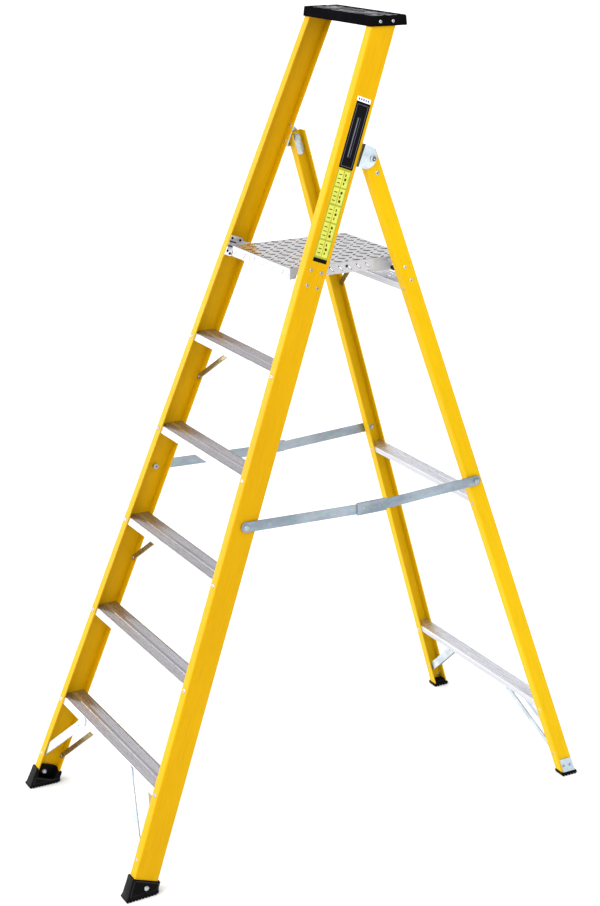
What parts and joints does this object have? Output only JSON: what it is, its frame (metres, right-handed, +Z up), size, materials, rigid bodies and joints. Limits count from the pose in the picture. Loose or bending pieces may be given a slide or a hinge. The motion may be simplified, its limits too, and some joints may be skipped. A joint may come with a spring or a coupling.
{
  "type": "platform step ladder",
  "caption": "Folding platform step ladder: yellow fibreglass channel stiles, aluminium treads, chequer-plate platform, black top cap and feet, braced rear frame and folding side stays.",
  "frame": {"origin": "on the floor, under the middle of the opened ladder's bounding box", "axes": "+Z up, +Y the way the climber faces, +X to the climber's right"},
  "size_m": [0.6536, 1.2904, 1.986],
  "materials": {
    "grp_yellow": "semi-gloss pultruded fibreglass, yellow",
    "ribbed_aluminium": "mill-finish extrusion with fine ribs",
    "chequer_aluminium": "bright five-bar style tread sheet",
    "plain_aluminium": "satin mill finish",
    "zinc_steel": "bright zinc plated",
    "black_plastic": "moulded, lightly textured",
    "black_rubber": "moulded rubber, matt"
  },
  "bodies": {
    "front_frame": {"tread_1": "ribbed_aluminium", "tread_2": "ribbed_aluminium", "tread_3": "ribbed_aluminium", "tread_4": "ribbed_aluminium", "tread_5": "ribbed_aluminium", "top_cap": "black_plastic", "front_stile_right": "grp_yellow", "front_boot_right": "black_rubber", "front_boot_bolt_right": "zinc_steel", "platform_bracket_right": "plain_aluminium", "platform_pivot_right": "zinc_steel", "hinge_plate_right": "zinc_steel", "hinge_bolt_right": "zinc_steel", "stay_front_bolt_right": "zinc_steel", "tread_brace_1_right": "plain_aluminium", "tread_brace_3_right": "plain_aluminium", "tread_brace_5_right": "plain_aluminium", "front_brace_right": "zinc_steel", "front_stile_left": "grp_yellow", "front_boot_left": "black_rubber", "front_boot_bolt_left": "zinc_steel", "platform_bracket_left": "plain_aluminium", "platform_pivot_left": "zinc_steel", "hinge_plate_left": "zinc_steel", "hinge_bolt_left": "zinc_steel", "stay_front_bolt_left": "zinc_steel", "tread_brace_1_left": "plain_aluminium", "tread_brace_3_left": "plain_aluminium", "tread_brace_5_left": "plain_aluminium", "front_brace_left": "zinc_steel"},
    "rear_frame": {"top_crossmember": "ribbed_aluminium", "upper_crossmember": "ribbed_aluminium", "lower_crossmember": "ribbed_aluminium", "rear_rail_right": "grp_yellow", "hinge_strap_right": "zinc_steel", "catch_bracket_right": "plain_aluminium", "catch_stud_right": "black_plastic", "rear_foot_plate_right": "zinc_steel", "rear_foot_pad_right": "black_rubber", "stay_rear_nut_right": "zinc_steel", "lower_brace_front_right": "zinc_steel", "lower_brace_back_right": "zinc_steel", "rear_rail_left": "grp_yellow", "hinge_strap_left": "zinc_steel", "catch_bracket_left": "plain_aluminium", "catch_stud_left": "black_plastic", "rear_foot_plate_left": "zinc_steel", "rear_foot_pad_left": "black_rubber", "stay_rear_nut_left": "zinc_steel", "lower_brace_front_left": "zinc_steel", "lower_brace_back_left": "zinc_steel"},
    "platform": {"platform": "chequer_aluminium"},
    "stay_front_right": {"stay_front_bar_right": "zinc_steel"},
    "stay_link_right": {"stay_link_right": "zinc_steel"},
    "stay_rear_right": {"stay_rear_bar_right": "zinc_steel", "stay_rear_bolt_right": "zinc_steel"},
    "stay_front_left": {"stay_front_bar_left": "zinc_steel"},
    "stay_link_left": {"stay_link_left": "zinc_steel"},
    "stay_rear_left": {"stay_rear_bar_left": "zinc_steel", "stay_rear_bolt_left": "zinc_steel"}
  },
  "joints": [
    {"name": "rear_frame_fold", "type": "hinge", "parent": "front_frame", "child": "rear_frame", "pos_m": [0, 0.08005, 1.65793], "axis": [-1, 0, 0], "range_deg": [0, 38.6]},
    {"name": "platform_fold", "type": "hinge", "parent": "front_frame", "child": "platform", "pos_m": [0, -0.0857, 1.39103], "axis": [1, 0, 0], "range_deg": [0, 69.6]},
    {"name": "stay_front_pivot_right", "type": "hinge", "parent": "front_frame", "child": "stay_front_right", "pos_m": [0.2555, -0.29368, 0.83356], "axis": [1, 0, 0], "range_deg": [0, 69.3]},
    {"name": "stay_knuckle_front_right", "type": "hinge", "parent": "stay_front_right", "child": "stay_link_right", "pos_m": [0.2555, 0.0241, 0.8244], "axis": [-1, 0, 0], "range_deg": [0, 81]},
    {"name": "stay_knuckle_rear_right", "type": "hinge", "parent": "stay_link_right", "child": "stay_rear_right", "pos_m": [0.2555, 0.0661, 0.8244], "axis": [-1, 0, 0], "range_deg": [0, 100.1]},
    {"name": "stay_front_pivot_left", "type": "hinge", "parent": "front_frame", "child": "stay_front_left", "pos_m": [-0.2555, -0.29368, 0.83356], "axis": [1, 0, 0], "range_deg": [0, 69.3]},
    {"name": "stay_knuckle_front_left", "type": "hinge", "parent": "stay_front_left", "child": "stay_link_left", "pos_m": [-0.2555, 0.0241, 0.8244], "axis": [-1, 0, 0], "range_deg": [0, 81]},
    {"name": "stay_knuckle_rear_left", "type": "hinge", "parent": "stay_link_left", "child": "stay_rear_left", "pos_m": [-0.2555, 0.0661, 0.8244], "axis": [-1, 0, 0], "range_deg": [0, 100.1]}
  ],
  "couplings": [
    {"joint": "platform_fold", "follows": "rear_frame_fold", "ratio": 1.8015},
    {"joint": "stay_front_pivot_right", "follows": "rear_frame_fold", "ratio": 1.7925},
    {"joint": "stay_knuckle_front_right", "follows": "rear_frame_fold", "ratio": 2.0943},
    {"joint": "stay_knuckle_rear_right", "follows": "rear_frame_fold", "ratio": 2.5911},
    {"joint": "stay_front_pivot_left", "follows": "rear_frame_fold", "ratio": 1.7925},
    {"joint": "stay_knuckle_front_left", "follows": "rear_frame_fold", "ratio": 2.0943},
    {"joint": "stay_knuckle_rear_left", "follows": "rear_frame_fold", "ratio": 2.5911}
  ]
}
